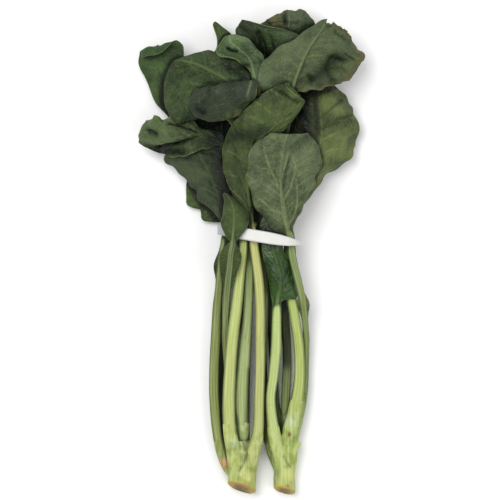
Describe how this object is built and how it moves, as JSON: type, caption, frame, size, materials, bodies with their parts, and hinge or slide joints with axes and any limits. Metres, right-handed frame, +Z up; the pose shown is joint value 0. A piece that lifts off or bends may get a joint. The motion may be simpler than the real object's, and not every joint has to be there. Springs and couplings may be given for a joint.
{
  "type": "bunch of collard greens",
  "caption": "Bunch of broad waved leaves on long stems from cut stalks, gathered by a flat tie band and lying flat.",
  "frame": {"origin": "centre of the bounding box's base, on the surface that the bunch lies on", "axes": "+Y from the cut stalks to the leaf tips, +Z up from the table, +X to the bunch's right seen from above"},
  "size_m": [0.2281, 0.4851, 0.0806],
  "materials": {
    "blade_bottom_right": "fresh leaf, satin",
    "blade_bottom_left": "fresh leaf, satin",
    "blade_top_centre": "fresh leaf, satin",
    "blade_right_low": "fresh leaf, satin",
    "blade_left_outer": "fresh leaf, satin",
    "blade_low_left": "fresh leaf, satin",
    "blade_left_crumpled": "fresh leaf, satin",
    "blade_big_left": "fresh leaf, satin",
    "blade_hollow": "fresh leaf, satin",
    "blade_right_top": "fresh leaf, satin",
    "blade_wet_small": "fresh leaf, satin",
    "blade_curled_grey": "fresh leaf, satin",
    "blade_centre_folded": "fresh leaf, satin",
    "blade_front_right": "fresh leaf, satin",
    "blade_over_band": "fresh leaf, satin",
    "stalk": "fresh green stalk, satin",
    "band": "coated white tie, satin"
  },
  "bodies": {
    "root": {"leaf_bottom_right": "blade_bottom_right", "leaf_bottom_left": "blade_bottom_left", "leaf_top_centre": "blade_top_centre", "leaf_right_low": "blade_right_low", "leaf_left_outer": "blade_left_outer", "leaf_low_left": "blade_low_left", "leaf_left_crumpled": "blade_left_crumpled", "leaf_big_left": "blade_big_left", "leaf_hollow": "blade_hollow", "leaf_right_top": "blade_right_top", "leaf_wet_small": "blade_wet_small", "leaf_curled_grey": "blade_curled_grey", "leaf_centre_folded": "blade_centre_folded", "leaf_front_right": "blade_front_right", "leaf_over_band": "blade_over_band", "tie_band": "band", "stalk_left": "stalk", "stalk_right": "stalk"}
  },
  "joints": []
}
